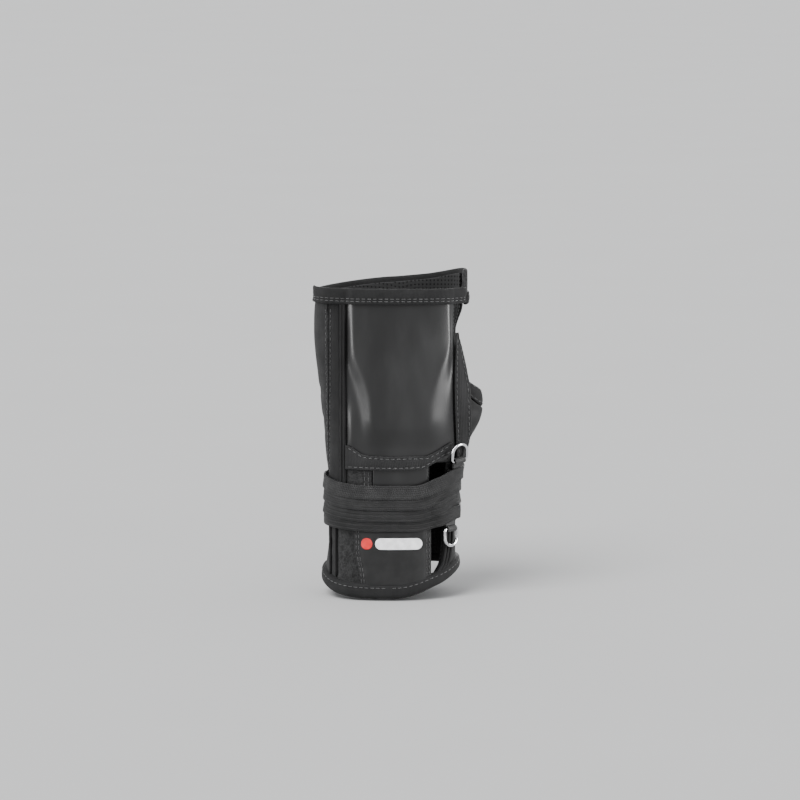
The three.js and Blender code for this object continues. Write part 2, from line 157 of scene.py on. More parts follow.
def skin(angle, z):
    c, s = np.cos(np.radians(angle)), np.sin(np.radians(angle))
    power = 2 / SQUARENESS
    away = turned(angle, THUMB_BASE["angle"]) / THUMB_BASE["spread"]
    swell = THUMB_BASE["bulge"] * thumb_swell(z) * np.exp(-away * away)
    towards = math.radians(THUMB_BASE["towards"])
    x = centre_x(z) + half_width(z) * np.sign(c) * np.abs(c) ** power + swell * math.cos(towards)
    y = half_depth(z) * np.sign(s) * np.abs(s) ** power + swell * math.sin(towards)
    return np.stack(np.broadcast_arrays(x, y, z), -1)


def outward(angle, z):
    step = 0.5
    normal = np.cross(
        skin(angle + step, z) - skin(angle - step, z),
        skin(angle, z + step) - skin(angle, z - step),
    )
    return normal / np.linalg.norm(normal, axis=-1, keepdims=True)


def place(angle, z, depth):
    return skin(angle, z) + outward(angle, z) * np.asarray(depth)[..., None]


HALVINGS = 24


def palm_edge(x, depth=PANEL[1]):
    """The angle, by height, at which the palm side has a given x."""
    x_at = x if callable(x) else lambda z: x

    def angle_at(z):
        z = np.asarray(z, float)
        low, high = np.full(z.shape, 180.0), np.full(z.shape, 360.0)
        for _ in range(HALVINGS):
            middle = (low + high) / 2
            short = place(middle, z, depth)[..., 0] < x_at(z)
            low, high = np.where(short, middle, low), np.where(short, high, middle)
        return (low + high) / 2

    return angle_at


# ---- materials ----


def add_node(tree, kind, **inputs):
    """A new shader node. Each input is a value or another node's socket."""
    node = tree.nodes.new("ShaderNode" + kind)
    for name, value in inputs.items():
        socket = node.inputs[name.replace("_", " ")]
        if isinstance(value, bpy.types.NodeSocket):
            tree.links.new(value, socket)
        else:
            socket.default_value = value
    return node


class Field:
    """A number that varies over a surface, built from math nodes."""

    def __init__(self, tree, socket):
        self.tree, self.socket = tree, socket

    def op(self, operation, *others):
        node = add_node(self.tree, "Math")
        node.operation = operation
        for socket, value in zip(node.inputs, (self, *others)):
            if isinstance(value, Field):
                self.tree.links.new(value.socket, socket)
            else:
                socket.default_value = value
        return Field(self.tree, node.outputs[0])

    def __add__(self, other):
        return self.op("ADD", other)

    def __sub__(self, other):
        return self.op("SUBTRACT", other)

    def __mul__(self, other):
        return self.op("MULTIPLY", other)

    def wave(self, pitch):
        """Rises and falls once each pitch, from 0 to 1."""
        return (self * (2 * math.pi / pitch)).op("SINE") * 0.5 + 0.5

    def ramp(self, low, high, to_low=0, to_high=1):
        node = add_node(
            self.tree, "MapRange", Value=self.socket,
            From_Min=low, From_Max=high, To_Min=to_low, To_Max=to_high,
        )
        node.interpolation_type = "SMOOTHSTEP"
        return Field(self.tree, node.outputs["Result"])


class Look:
    """A procedural material. u and v are millimetres along the cloth, and the noise is in object space.

    sheen is its weight and roughness.
    """

    def __init__(self, name, slot, specular=0.5, sheen=(0, 0.5), metallic=0):
        self.slot = slot
        self.material = bpy.data.materials.new(name)
        self.material.use_nodes = True
        self.tree = self.material.node_tree
        self.shader = self.tree.nodes["Principled BSDF"]
        for socket, value in (
            ("Specular IOR Level", specular), ("Sheen Weight", sheen[0]), ("Sheen Roughness", sheen[1]),
            ("Metallic", metallic),
        ):
            self.shader.inputs[socket].default_value = value
        uv = add_node(self.tree, "UVMap")
        uv.uv_map = "cloth"
        self.uv = uv.outputs[0]
        parts = add_node(self.tree, "SeparateXYZ", Vector=self.uv)
        self.u, self.v = (Field(self.tree, parts.outputs[i]) for i in range(2))
        self.object_space = add_node(self.tree, "TexCoord").outputs["Object"]

    def noise(self, size, detail=3, stretch=(1, 1, 1)):
        """Noise with features of a size in millimetres."""
        scale = [1 / (MM * size * part) for part in stretch]
        mapping = add_node(self.tree, "Mapping", Vector=self.object_space, Scale=scale)
        node = add_node(self.tree, "TexNoise", Vector=mapping.outputs[0], Scale=1, Detail=detail)
        return Field(self.tree, node.outputs[0])

    def dots(self, pitch):
        """The distance from the nearest point of a square lattice, in pitches."""
        mapping = add_node(self.tree, "Mapping", Vector=self.uv, Scale=[1 / pitch] * 3)
        node = add_node(self.tree, "TexVoronoi", Vector=mapping.outputs[0], Scale=1, Randomness=0)
        return Field(self.tree, node.outputs["Distance"])

    def colour(self, mask, dark, light):
        """Dark where the mask is 0 and light where it is 1."""
        node = add_node(self.tree, "Mix")
        node.data_type = "RGBA"
        # A Mix node has a set of sockets for each data type: 6, 7 and output 2 are the colours.
        self.tree.links.new(mask.socket, node.inputs[0])
        node.inputs[6].default_value = (*dark, 1)
        node.inputs[7].default_value = (*light, 1)
        self.tree.links.new(node.outputs[2], self.shader.inputs["Base Color"])

    def rough(self, mask, low, high):
        spread = mask.ramp(0.3, 0.7, low, high)
        self.tree.links.new(spread.socket, self.shader.inputs["Roughness"])

    def relief(self, height, millimetres):
        node = add_node(self.tree, "Bump", Strength=1, Distance=millimetres * MM, Height=height.socket)
        self.tree.links.new(node.outputs[0], self.shader.inputs["Normal"])
        return self


def grey(value, blue=1.02):
    return (value, value, value * blue)


def knit_look(name, pitch, dark, light, relief, sheen):
    """Fine knitted face: wales along v, with the loops of each course leaning to and fro."""
    look = Look(name, "jersey", 0.15, (sheen, 0.35))
    lean = look.u.wave(2 * pitch) * (pitch * 0.7)
    loops = (look.v + lean).wave(pitch * 0.8)
    knit = look.u.wave(pitch) * 0.6 + loops * 0.4
    fuzz = look.noise(0.6)
    look.colour(knit * 0.55 + look.noise(14) * 0.5, grey(dark), grey(light))
    look.rough(look.noise(9), 0.72, 0.9)
    return look.relief(knit + fuzz * 0.5, relief)


def neoprene_look():
    """Foam sheet with a tight nylon face: a fine diagonal twill and a soft mottle."""
    look = Look("neoprene", "neoprene", 0.25, (0.06, 0.3))
    twill = (look.u + look.v).wave(0.9) * 0.6 + (look.u - look.v).wave(0.9) * 0.4
    look.colour(twill * 0.4 + look.noise(18) * 0.6, grey(0.004), grey(0.015))
    look.rough(look.noise(7), 0.6, 0.8)
    return look.relief(twill + look.noise(2.5) * 0.8, 0.1)


def mesh_look():
    """Lining with rows of small round perforations."""
    look = Look("spacer_mesh", "spacer_mesh", 0.2, (0.06, 0.4))
    solid = look.dots(2.4).ramp(0.16, 0.27)
    yarn = look.u.wave(0.8) * look.v.wave(0.8)
    look.colour(solid * (yarn * 0.4 + 0.6), grey(0.002), grey(0.028))
    look.rough(look.noise(6), 0.75, 0.9)
    return look.relief(solid + yarn * 0.25, 0.35)


def elastic_look():
    """Ribbed elastic: cords along the strap, crossed by fine ribs."""
    look = Look("elastic", "elastic", 0.25, (0.06, 0.3))
    ribs = look.u.wave(1.15)
    cords = look.v.wave(1.3)
    weave = ribs * 0.65 + cords * 0.35
    look.colour(weave * 0.6 + look.noise(11) * 0.4, grey(0.003), grey(0.017))
    look.rough(look.noise(5), 0.55, 0.78)
    return look.relief(weave, 0.28)


def webbing_look():
    look = Look("webbing", "webbing", 0.45, (0.08, 0.3))
    over = look.u.wave(1.6) * look.v.wave(0.9)
    under = (look.u + 0.8).wave(1.6) * (look.v + 0.45).wave(0.9)
    weave = over + under
    look.colour(weave * 0.5 + look.noise(8) * 0.4, grey(0.005), grey(0.022))
    look.rough(look.noise(5), 0.5, 0.7)
    return look.relief(weave, 0.2)


def brushed_look():
    """Brushed loop fabric: short fibres lying every way."""
    look = Look("brushed_loop", "jersey", 0.15, (0.16, 0.5))
    fibres = look.noise(0.7, 5) * 0.6 + look.noise(2.2, 4) * 0.4
    look.colour(fibres.ramp(0.35, 0.65), grey(0.004), grey(0.024))
    look.rough(look.noise(4), 0.85, 0.95)
    return look.relief(fibres, 0.6)


def hook_look():
    look = Look("hook_tape", "hook_and_loop", 0.5)
    hooks = look.dots(1.1).ramp(0.15, 0.4, 1, 0)
    look.colour(hooks * 0.7 + look.noise(5) * 0.3, grey(0.004), grey(0.02))
    look.rough(look.noise(1.5), 0.4, 0.65)
    return look.relief(hooks, 0.5)


def moulded_look(name, slot, value, rough):
    """Satin moulded plastic: a fine spark-eroded grain, a faint waviness and light rubbing."""
    look = Look(name, slot, 0.4)
    rubs = look.noise(26, 6, stretch=(1, 1, 3))
    look.colour(rubs.ramp(0.35, 0.75), grey(value), grey(value * 2.1))
    look.rough(rubs, rough[0], rough[1])
    return look.relief(look.noise(0.7, 2) * 0.5 + look.noise(16, 2), 0.06)


def foam_look():
    look = Look("foam", "foam", 0.2)
    cells = look.noise(1.1, 5)
    look.colour(cells.ramp(0.3, 0.7), grey(0.012), grey(0.05))
    look.rough(look.noise(4), 0.85, 0.98)
    return look.relief(cells, 0.4)


def thread_look():
    """Polyester thread: two plies laid round each other."""
    look = Look("thread", "jersey", 0.5, (0.2, 0.3))
    plies = (look.u + look.v * 2).wave(0.6)
    look.colour(plies, grey(0.022), grey(0.065))
    look.rough(look.noise(3), 0.4, 0.6)
    return look.relief(plies, 0.08)


def print_look(name, dark, light):
    """A flexible printed film."""
    look = Look(name, "print", 0.4)
    look.colour(look.noise(4, 4).ramp(0.3, 0.7), dark, light)
    look.rough(look.noise(2), 0.4, 0.6)
    return look.relief(look.noise(0.8), 0.05)


def steel_look():
    """Bright nickel plate with a little handling haze."""
    look = Look("ring_steel", "ring_steel", metallic=1.0)
    haze = look.noise(3, 5)
    look.colour(haze.ramp(0.3, 0.7), grey(0.62, 1.03), grey(0.8, 1.02))
    look.rough(haze, 0.08, 0.2)
    return look.relief(look.noise(5), 0.02)


def floor_look():
    look = Look("studio_floor", "print", 0.2)
    look.colour(look.noise(160), grey(0.78, 1.0), grey(0.81, 1.0))
    look.rough(look.noise(60), 0.75, 0.85)
    return look.relief(look.noise(3), 0.02)


jersey = knit_look("jersey", 1.0, 0.005, 0.026, 0.16, 0.09)
binding = knit_look("binding", 0.8, 0.004, 0.018, 0.14, 0.06)
neoprene = neoprene_look()
spacer_mesh = mesh_look()
elastic = elastic_look()
webbing = webbing_look()
brushed = brushed_look()
hook_tape = hook_look()
plate_plastic = moulded_look("plate_plastic", "plate_plastic", 0.007, (0.34, 0.46))
splint_plastic = moulded_look("splint_plastic", "splint_plastic", 0.02, (0.4, 0.55))
foam = foam_look()
thread = thread_look()
white_print = print_look("white_print", grey(0.62), grey(0.8))
red_print = print_look("red_print", (0.45, 0.01, 0.012), (0.6, 0.02, 0.02))
steel = steel_look()

# ---- making meshes ----


def add_to_scene(name, data):
    thing = bpy.data.objects.new(name, data)
    bpy.context.scene.collection.objects.link(thing)
    return thing


def make_object(name, points, faces, corners, look):
    """A smooth-shaded object. corners holds a place on the cloth, in millimetres, for each face corner.

    Its name ends in _made, because the CAD node that it stands for has the plain name.
    """
    name += "_made"
    mesh = bpy.data.meshes.new(name)
    mesh.from_pydata((points * MM).tolist(), [], faces.tolist())
    mesh.uv_layers.new(name="cloth").data.foreach_set("uv", corners.reshape(-1).astype(np.float32))
    mesh.shade_smooth()
    mesh.materials.append(look.material)
    thing = add_to_scene(name, mesh)
    return thing


def attach(thing, ride):
    """Rides on a body, or, where ride is wrist, stays unparented with its place baked into its mesh."""
    if ride == "wrist":
        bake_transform(thing)
    else:
        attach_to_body(thing, ride)
    return thing


def quads(grid):
    """The corners of each cell of a grid, in order round it."""
    return np.stack([grid[:-1, :-1], grid[:-1, 1:], grid[1:, 1:], grid[1:, :-1]], 2)


def rod_faces(rings, sides):
    """The faces of a rod: a row of rings of points, with a cap on both ends."""
    ids = np.arange(rings * sides).reshape(-1, sides)
    cap = np.array([[0, k, k - 1, k - 2] for k in range(sides - 1, 1, -2)])
    tube = quads(np.hstack([ids, ids[:, :1]])).reshape(-1, 4)
    return np.concatenate([tube, cap, ids[-1, 0] + cap[:, ::-1]])


def shell(name, outer, inner, flat, look, closed=False):
    """A closed thin body between two grids of points that share their rim.

    flat holds the grid's places on the flat cloth, in millimetres.
    """
    rows, columns = outer.shape[:2]
    top = np.arange(rows * columns).reshape(rows, columns)
    under = top + rows * columns
    under[[0, -1]] = top[[0, -1]]
    if closed:
        top = np.hstack([top, top[:, :1]])
        under = np.hstack([under, under[:, :1]])
    else:
        under[:, [0, -1]] = top[:, [0, -1]]
    corners = quads(flat).reshape(-1, 4, 2)
    faces = np.concatenate([quads(top).reshape(-1, 4), quads(under).reshape(-1, 4)[:, ::-1]])
    used, faces = np.unique(faces, return_inverse=True)
    points = np.concatenate([outer.reshape(-1, 3), inner.reshape(-1, 3)])[used]
    return make_object(
        name, points, faces.reshape(-1, 4), np.concatenate([corners, corners[:, ::-1]]), look
    )


def distances(points, axis):
    """The distance along each row (axis 1) or column (axis 0) of a grid of points."""
    steps = np.linalg.norm(np.diff(points, axis=axis), axis=-1)
    start = np.zeros_like(np.take(steps, [0], axis))
    return np.concatenate([start, np.cumsum(steps, axis)], axis)


def spaced(length, step):
    """Shares of a length, closer together near both ends, where an edge is rounded."""
    near = np.array([0, 0.1, 0.3, 0.6, 1.0, 1.6]) * min(1, length / 5)
    count = max(int((length - 2 * near[-1]) / step), 2)
    middle = np.linspace(near[-1], length - near[-1], count + 1)
    return np.concatenate([near[:-1], middle, length - near[-2::-1]]) / length


STITCH = {"length": 2.4, "pitch": 3.4, "radius": 0.24, "sides": 6, "facet": 0.25, "aim": 0.4}


def stitch_mesh(name, paths, ride):
    """Stitches along paths, each a list of points and the normals there."""
    sides = STITCH["sides"]
    turn = np.radians(np.arange(sides) * 360 / sides)
    # A stitch is a row of rings that dips into the cloth at both ends.
    reach = np.array([-1, -0.75, 0, 0.75, 1]) * STITCH["length"] / 2
    girth = np.array([0.3, 0.85, 1, 0.85, 0.3]) * STITCH["radius"]
    lift = np.array([-0.8, 0.2, 0.45, 0.2, -0.8]) * STITCH["radius"]
    stitches = []
    for line, normals in paths:
        travelled = distances(line[None], 1)[0]
        middles = np.arange(STITCH["pitch"] / 2, travelled[-1] - STITCH["length"] / 2, STITCH["pitch"])
        for s in middles:
            at, ahead, n = (
                np.array([np.interp(s + d, travelled, values[:, k]) for k in range(3)])
                for d, values in ((0, line), (STITCH["aim"], line), (0, normals))
            )
            t = (ahead - at) / np.linalg.norm(ahead - at)
            n = n - t * (n @ t)
            n /= np.linalg.norm(n)
            b = np.cross(n, t)
            ring = np.cos(turn)[:, None] * n + np.sin(turn)[:, None] * b
            stitches.append(
                at + reach[:, None, None] * t + lift[:, None, None] * n + girth[:, None, None] * ring
            )
    if not stitches:
        return
    one = rod_faces(len(reach), sides)
    first = len(reach) * sides * np.arange(len(stitches))
    faces = (one[None] + first[:, None, None]).reshape(-1, 4)
    flat = np.stack(np.meshgrid(np.arange(sides) * STITCH["facet"], reach), -1).reshape(-1, 2)
    corners = np.tile(flat[one], (len(stitches), 1, 1))
    attach(make_object(name, np.concatenate(stitches).reshape(-1, 3), faces, corners, thread), ride)


# ---- cloth ----


# A simulated metre stands for 100 mm, ten times life size, where the solver's limits suit the cloth.
RELAX = {"scale": 0.01, "frames": 18, "cell": 2.6, "pressure": 4, "smoothing": 3, "sink": 0.25}


def relax(points, normals, looseness):
    """How far the cloth moves along its normals when its edges are held and it is a little too large."""
    scale, frames = RELAX["scale"], RELAX["frames"]
    rows, columns = (
        np.unique(np.linspace(0, n - 1, max(int(length / RELAX["cell"]), 5)).round().astype(int))
        for n, length in (
            (points.shape[0], distances(points, 0)[-1].max()),
            (points.shape[1], distances(points, 1)[:, -1].max()),
        )
    )
    coarse, normal = points[np.ix_(rows, columns)], normals[np.ix_(rows, columns)]
    ids = np.arange(coarse.shape[0] * coarse.shape[1]).reshape(coarse.shape[:2])
    mesh = bpy.data.meshes.new("relaxing")
    mesh.from_pydata((coarse.reshape(-1, 3) * scale).tolist(), [], quads(ids).reshape(-1, 4).tolist())
    sheet = add_to_scene("relaxing", mesh)
    rim = np.unique(np.concatenate([ids[0], ids[-1], ids[:, 0], ids[:, -1]]))
    sheet.vertex_groups.new(name="sewn").add(rim.tolist(), 1, "ADD")
    cloth = sheet.modifiers.new("Cloth", "CLOTH")
    cloth.point_cache.frame_end = frames
    settings = cloth.settings
    settings.vertex_group_mass = "sewn"
    settings.effector_weights.gravity = 0
    settings.use_pressure = True
    settings.uniform_pressure_force = RELAX["pressure"]
    settings.shrink_min = -looseness
    for number in range(1, frames + 1):
        bpy.context.scene.frame_set(number)
    settled = sheet.evaluated_get(bpy.context.evaluated_depsgraph_get()).data
    moved = np.zeros(ids.size * 3, np.float32)
    settled.vertices.foreach_get("co", moved)
    shift = ((moved.reshape(coarse.shape) / scale - coarse) * normal).sum(-1)
    bpy.data.objects.remove(sheet)
    bpy.context.scene.frame_set(1)

    rows_fine, columns_fine = np.arange(points.shape[0]), np.arange(points.shape[1])
    wide = np.array([np.interp(columns_fine, columns, line) for line in shift])
    fine = np.array([np.interp(rows_fine, rows, line) for line in wide.T]).T
    for _ in range(RELAX["smoothing"]):
        inside = fine[1:-1, 1:-1]
        around = fine[:-2, 1:-1] + fine[2:, 1:-1] + fine[1:-1, :-2] + fine[1:-1, 2:]
        fine[1:-1, 1:-1] = inside * 0.4 + around * 0.15
    return fine


def depth_of(thing, angle, z):
    """How far outside the skin a piece's outer face is."""
    above = 30
    starts, ways = place(angle, z, above) * MM, -outward(angle, z)
    gaps = [
        (thing.ray_cast(Vector(start), Vector(way))[1] - Vector(start)).length / MM
        for start, way in zip(starts.reshape(-1, 3), ways.reshape(-1, 3))
    ]
    return above - np.reshape(gaps, np.shape(z))


def as_function(value):
    return value if callable(value) else lambda *_: value


def sheet_grid(left, right, low, high, step, closed):
    """Angles and heights of a grid inside four edges. low and high may depend on the angle."""
    left, right = (
        (lambda z, edge=edge: edge(z) if callable(edge) else edge + 0 * z) for edge in (left, right)
    )
    low, high = as_function(low), as_function(high)

    def edge_height(height_at, u):
        z = 0.0 * u
        for _ in range(3):
            z = height_at(lerp(left(z), right(z), u)) + 0 * u
        return z

    probe = np.linspace(0, 1, 200)
    middle = (edge_height(low, probe) + edge_height(high, probe)) / 2
    ring = place(lerp(left(middle), right(middle), probe), middle, PANEL[0])
    travelled = distances(ring[None], 1)[0]
    width = travelled[-1]
    if closed:
        shares = np.linspace(0, 1, int(width / step) + 1)
    else:
        shares = spaced(width, step)
    u = np.interp(shares, travelled / width, probe)
    bottom, top = edge_height(low, u), edge_height(high, u)
    v = spaced((top - bottom).max(), step)
    z = lerp(bottom[None], top[None], v[:, None])
    return lerp(left(z), right(z), u[None]), z


# Where a row of stitches pulls the cloth in, and the edge gathers beside it. fade is the share of the
# row over which it starts and ends, and trim the grid lines at an edge that stitches keep clear of.
SEAM = {"depth": 0.38, "width": 0.75, "gather": 0.08, "gather_fade": 4, "fade": 0.02, "trim": 5}
# Faint creases: their lengths across and up the cloth, and how they wander, in millimetres.
CREASE = {"across": 7, "up": 8, "lean": 19, "wander": 1.4, "wander_up": 11, "rim": 5}


def cloth(
    name, left, right, low, high, depths, look, ride,
    seams=(), edge=0.9, loose=0, lift=1.2, ripple=0.0, step=1.3, closed=False, stands_for=None, shape=None,
    lies_on=None,
):
    """A piece of cloth sewn to the guard.

    left and right are angles, or functions of height; low and high are heights, or functions of the
    angle. depths are those of its inner and outer faces, outside the skin or outside the piece that it
    lies on. seams lists (side, inset), where a row of stitches sinks into the cloth, with the shares of
    its run where it starts and ends if it doesn't go all the way. edge is the radius of its rounded
    rim. loose is how much larger than its place it is cut, which the cloth simulation turns into soft
    folds, up to lift high. ripple is the height of its faint creases.
    """
    angle, z = sheet_grid(left, right, low, high, step, closed)
    inner_depth, outer_depth = (np.broadcast_to(as_function(d)(angle, z), angle.shape) for d in depths)
    normal = outward(angle, z)
    if lies_on:
        under = depth_of(lies_on, angle, z)
        inner_depth, outer_depth = inner_depth + under, outer_depth + under
    base = place(angle, z, outer_depth)
    across, up = distances(base, 1), distances(base, 0)
    rows, columns = up / up[-1:], across / across[:, -1:]
    inset = {"left": across, "right": across[:, -1:] - across, "low": up, "high": up[-1:] - up}
    rims = ("low", "high") if closed else inset
    rim = np.min([inset[side] for side in rims], 0)

    wander = CREASE["wander"] * np.sin(up / CREASE["wander_up"])
    shift = ripple * np.sin(across / CREASE["across"] + wander)
    shift = shift * np.sin(up / CREASE["up"] + across / CREASE["lean"]) * smoothstep(rim / CREASE["rim"])
    if loose:
        shift = shift + np.clip(relax(base, normal, loose), -RELAX["sink"], lift)
    roundness = rounded(rim / edge)
    middle = (inner_depth + outer_depth) / 2 + shift
    half = (outer_depth - inner_depth) / 2 * roundness
    sunk = 0
    for side, distance, *span in seams:
        run, share = (up, rows) if side in ("left", "right") else (across, columns)
        first, last = span or (-1, 2)
        within = smoothstep((share - first) / SEAM["fade"]) * smoothstep((last - share) / SEAM["fade"])
        near = np.exp(-(((inset[side] - distance) / SEAM["width"]) ** 2)) * within
        beside = SEAM["gather"] * np.exp(-inset[side] / SEAM["gather_fade"])
        sunk = sunk + SEAM["depth"] * near - beside * np.cos(run * 2 * math.pi / STITCH["pitch"])
    outer = place(angle, z, middle + half - sunk * roundness)
    inner = place(angle, z, middle - half)
    if shape:
        outer, inner = shape(outer, 0), shape(inner, outer_depth - inner_depth)

    flat = np.stack([across, up], -1)
    if closed:
        outer, inner = outer[:, :-1], inner[:, :-1]
    thing = attach(shell(name, outer, inner, flat, look, closed), ride)
    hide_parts(stands_for or name)
    paths = []
    for side, distance, *span in seams:
        if side in ("left", "right"):
            lines = [(outer[j], normal[j], inset[side][j]) for j in range(len(outer))]
        else:
            columns = outer.shape[1]
            lines = [(outer[:, i], normal[:, i], inset[side][:, i]) for i in range(columns)]
        if closed:
            lines.append(lines[0])
        ends = min(line[2][-1] for line in lines), min(line[2][0] for line in lines)
        if max(ends) < distance:
            continue
        path = np.array([
            [
                [np.interp(distance, *ordered(gaps, values[:, k])) for k in range(3)]
                for values in (points, normals)
            ]
            for points, normals, gaps in lines
        ])
        trim = slice(None) if closed else slice(SEAM["trim"], -SEAM["trim"])
        if span:
            trim = slice(*(int(share * len(path)) for share in span))
        paths.append((path[trim, 0], path[trim, 1]))
    if paths:
        stitch_mesh(name + "_stitches", paths, ride)
    return thing


def ordered(keys, values):
    """The same table with its keys rising."""
    return (keys, values) if keys[-1] > keys[0] else (keys[::-1], values[::-1])


CORD = {"sides": 12, "step": 1.5, "blunt": 0.05, "gather": 0.05}


def cord(name, x, low, high, depth, radius, look, ride, stands_for):
    """A round piping cord up the palm side at a given x, sewn down so that half of it stands proud."""
    sides = CORD["sides"]
    z = np.linspace(low, high, int((high - low) / CORD["step"]) + 1)
    angle = palm_edge(x, depth)(z)
    middle, out = place(angle, z, depth), outward(angle, z)
    tangent = np.gradient(middle, axis=0)
    tangent /= np.linalg.norm(tangent, axis=1, keepdims=True)
    side = np.cross(tangent, out)
    turn = np.radians(np.arange(sides) * 360 / sides)
    taper = radius * np.sqrt(np.clip(np.minimum(z - z[0], z[-1] - z) / radius, CORD["blunt"], 1))
    gather = 1 + CORD["gather"] * np.sin((z - z[0]) * 2 * math.pi / STITCH["pitch"])
    rings = middle[:, None] + (taper * gather)[:, None, None] * (
        np.cos(turn)[None, :, None] * out[:, None] + np.sin(turn)[None, :, None] * side[:, None]
    )
    faces = rod_faces(len(rings), sides)
    flat = quads(np.stack(np.meshgrid(np.arange(sides + 1) * radius / 2, z), -1)).reshape(-1, 4, 2)
    corners = np.concatenate([flat, np.zeros((len(faces) - len(flat), 4, 2))])
    thing = attach(make_object(name, rings.reshape(-1, 3), faces[:, ::-1], corners[:, ::-1], look), ride)
    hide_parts(stands_for)


# ---- the palm plate and what lies under it ----

# How high the crown stands, where its top is cut flat, and where it starts above the wrist.
CROWN = {"height": 4.6, "flat": 27.4, "foot": 12, "foot_rise": 10, "rim": 4}
# A soft swelling over the heel of the hand.
HEEL = {"x": -24, "z": 28, "across": 4.5, "up": 13, "height": 1.5}
crown_left = along([(10, -14), (38, -15), (55, -18.5), (74, -25), (110, -26)])
crown_right = along([(10, 27), (40, 28), (56, 31), (74, 36), (110, 40)])
left_slope = along([(45, 11), (80, 8)])
right_slope = along([(42, 15), (60, 12), (80, 9)])
crown_height = along([(16, 0), (36, 1), (72, 1), (112, 0.4)])
PLATE_LEFT = -27.6
plate_right = along([(10, 38), (46, 36.6), (110, 36.6)])


def crown_at(angle, z):
    """How far the plate's crown stands out of its flange."""
    x = place(angle, z, PANEL[1])[..., 0]
    from_left = smoothstep((x - crown_left(z)) / left_slope(z) + 0.5)
    from_right = smoothstep((crown_right(z) - x) / right_slope(z) + 0.5)
    rim = smoothstep((x - PLATE_LEFT) / CROWN["rim"]) * smoothstep((plate_right(z) - x) / CROWN["rim"])
    crown = CROWN["height"] * crown_height(z) * from_left * from_right
    away = ((x - HEEL["x"]) / HEEL["across"]) ** 2 + ((z - HEEL["z"]) / HEEL["up"]) ** 2
    foot = smoothstep((z - CROWN["foot"]) / CROWN["foot_rise"])
    return (crown + HEEL["height"] * np.exp(-away)) * rim * foot


def ground(points, thickness):
    """Cuts the crown's highest part flat, with a soft edge."""
    limit, softness = CROWN["flat"] - thickness, 0.35
    over = -points[..., 1] - limit
    points[..., 1] = -(limit + over - softness * np.log1p(np.exp(over / softness)))
    return points


def plate_low(angle):
    """The plate's lower edge, which turns up at both corners."""
    left, right = (palm_edge(x)(0.0) for x in (PLATE_LEFT, 37.0))
    share = (angle - left) / (right - left)
    return along([(0, 14), (0.25, 9.5), (0.75, 9.5), (1, 19)])(share)


cloth(
    "palm_plate", palm_edge(PLATE_LEFT), palm_edge(plate_right), plate_low, 105.6,
    (lambda angle, z: PANEL[0] + crown_at(angle, z), lambda angle, z: PANEL[1] + crown_at(angle, z)),
    plate_plastic, "hand", edge=0.6, step=1.1, shape=ground,
)
cloth(
    "palm_plate_tongue", palm_edge(-11.5), palm_edge(21.5), -54, 8.6, PANEL,
    plate_plastic, "wrist", edge=0.6,
)
PAD = {"margin": 6, "clearance": 0.8, "edge": 2.2}
pad = cloth(
    "palm_foam_pad",
    palm_edge(shifted(crown_left, PAD["margin"])), palm_edge(shifted(crown_right, -PAD["margin"])),
    36, 92, (PANEL[0], lambda angle, z: PANEL[0] - PAD["clearance"] + crown_at(angle, z)),
    foam, "hand", edge=PAD["edge"], shape=lambda points, thickness: ground(points, PAD["edge"]),
)

# ---- the hand section ----

border_left = along([(4, 35.6), (14, 38.2), (30, 38), (60, 37.2), (86, 37.6)])
border_right = along([(4, 39.5), (14, 43), (30, 46.6), (48, 46.8), (62, 44.4), (76, 41), (86, 39.2)])
thumb_hole_palm = palm_edge(shifted(border_right, -0.6))
hole_back = along([(84, 388), (104, 372)])
back_top = along([(10, 121), (70, 116), (180, 109)])
SPLINT = {"from": 72, "to": 108, "low": -48, "high": 84}
SWELL = {"height": 1.8, "margin": 16, "side": 12, "above": 8, "end": 6}


def pocket_swell(angle, z):
    """How far the back panels stand out over the splint and its pocket."""
    from_left = smoothstep((angle - SPLINT["from"] + SWELL["margin"]) / SWELL["side"])
    from_right = smoothstep((SPLINT["to"] + SWELL["margin"] - angle) / SWELL["side"])
    from_top = smoothstep((SPLINT["high"] + SWELL["above"] - z) / SWELL["end"])
    return SWELL["height"] * from_left * from_right * from_top


def over_pocket(depths):
    return tuple(lambda angle, z, depth=depth: depth + pocket_swell(angle, z) for depth in depths)


# How far from the wrist the linings end. The stretch gusset joins them.
LINING_GAP = 8.5
cloth("hand_lining_palm", 180.6, thumb_hole_palm, LINING_GAP, 110, LINING, spacer_mesh, "hand", edge=0.5)
cloth(
    "hand_lining_back", shifted(hole_back, -360), 179.6, LINING_GAP, shifted(back_top, -1),
    LINING, spacer_mesh, "hand", edge=0.5,
)
back = cloth(
    "hand_back_panel", shifted(hole_back, -359), 149, MEET_BACK, shifted(back_top, -4.5),
    over_pocket(PANEL), neoprene, "wrist",
    seams=(
        ("left", 2), ("right", 2), ("right", 4.2), ("left", 22), ("right", 23.5),
        ("high", 24, 0.29, 0.7), ("high", 26, 0.29, 0.7),
    ),
    loose=0.02, ripple=0.12,
)
cloth(
    "back_splint", SPLINT["from"], SPLINT["to"], SPLINT["low"], SPLINT["high"], (1.8, 3.2),
    splint_plastic, "wrist", edge=0.7,
)
cloth(
    "ulnar_panel", 150, palm_edge(-38.2), MEET, 104.6, PANEL, jersey, "wrist",
    seams=(("left", 1.8), ("right", 1.6)), loose=0.02, lift=0.9, ripple=0.15,
)
cloth(
    "palm_edge_panel", palm_edge(-38), palm_edge(-31), MEET, 104.6, PANEL, binding, "wrist",
    seams=(("left", 1.4),), ripple=0.1,
)
for side, x in (("outer", -30.2), ("inner", -28.5)):
    cord(
        "plate_piping_" + side, x, MEET, 104.6, 4.1, 0.95, binding, "wrist", stands_for="plate_piping"
    )


CROSSBAND_HEIGHT = 12


